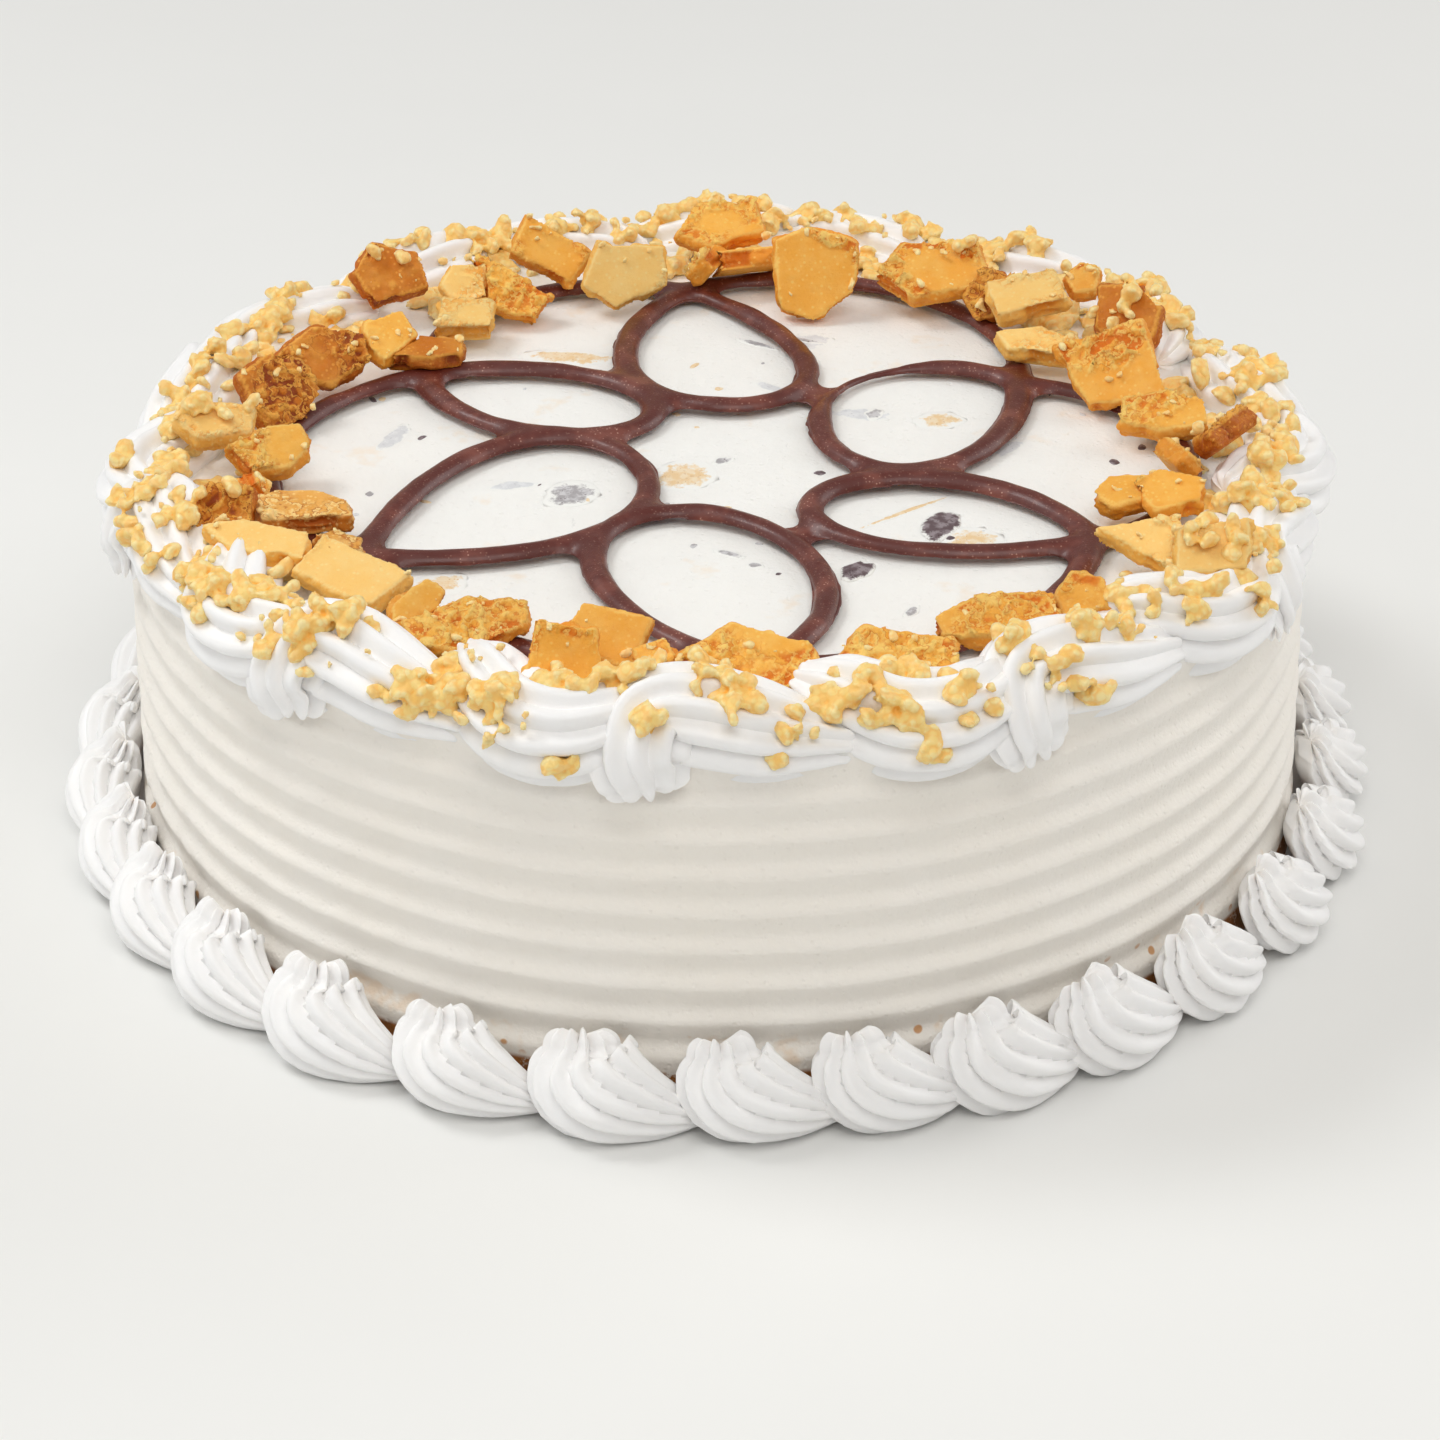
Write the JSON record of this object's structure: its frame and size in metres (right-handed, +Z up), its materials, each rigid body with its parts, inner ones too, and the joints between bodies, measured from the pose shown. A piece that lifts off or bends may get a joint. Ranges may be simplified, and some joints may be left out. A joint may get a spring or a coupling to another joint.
{
  "type": "celebration cake",
  "caption": "Round combed cream cake with a piped cream border, shells round its foot, a chocolate fudge flower on top, and golden crisp candy slabs and crumbs round the edge.",
  "frame": {"origin": "middle of the cake's foot, on the surface it rests on", "axes": "+Z up, -Y towards the front as pictured, +X to its right"},
  "size_m": [0.2915, 0.291, 0.0996],
  "materials": {
    "body_cream": "satin",
    "piped_cream": "satin",
    "chocolate_fudge": "soft gloss",
    "crisp_candy": "dry and grainy"
  },
  "bodies": {
    "root": {"cake_body": "body_cream", "top_border": "piped_cream", "shell_border": "piped_cream", "fudge_piping": "chocolate_fudge", "crisp_slab_01": "crisp_candy", "crisp_slab_02": "crisp_candy", "crisp_slab_03": "crisp_candy", "crisp_slab_04": "crisp_candy", "crisp_slab_05": "crisp_candy", "crisp_slab_06": "crisp_candy", "crisp_slab_07": "crisp_candy", "crisp_slab_08": "crisp_candy", "crisp_slab_09": "crisp_candy", "crisp_slab_10": "crisp_candy", "crisp_slab_11": "crisp_candy", "crisp_slab_12": "crisp_candy", "crisp_slab_13": "crisp_candy", "crisp_slab_14": "crisp_candy", "crisp_slab_15": "crisp_candy", "crisp_slab_16": "crisp_candy", "crisp_slab_17": "crisp_candy", "crisp_slab_18": "crisp_candy", "crisp_slab_19": "crisp_candy", "crisp_slab_20": "crisp_candy", "crisp_slab_21": "crisp_candy", "crisp_slab_22": "crisp_candy", "crisp_slab_23": "crisp_candy", "crisp_slab_24": "crisp_candy", "crisp_slab_25": "crisp_candy", "crisp_slab_26": "crisp_candy", "crisp_slab_27": "crisp_candy", "crisp_slab_28": "crisp_candy", "crisp_slab_29": "crisp_candy", "crisp_slab_30": "crisp_candy", "crisp_slab_31": "crisp_candy", "crisp_slab_32": "crisp_candy", "crisp_slab_33": "crisp_candy", "crisp_slab_34": "crisp_candy", "crisp_slab_35": "crisp_candy", "crisp_slab_36": "crisp_candy", "crisp_slab_37": "crisp_candy", "crisp_slab_38": "crisp_candy", "crisp_slab_39": "crisp_candy", "crisp_slab_40": "crisp_candy", "crisp_slab_41": "crisp_candy", "crisp_slab_42": "crisp_candy", "crisp_slab_43": "crisp_candy", "crisp_slab_44": "crisp_candy", "crisp_slab_45": "crisp_candy"}
  },
  "joints": []
}
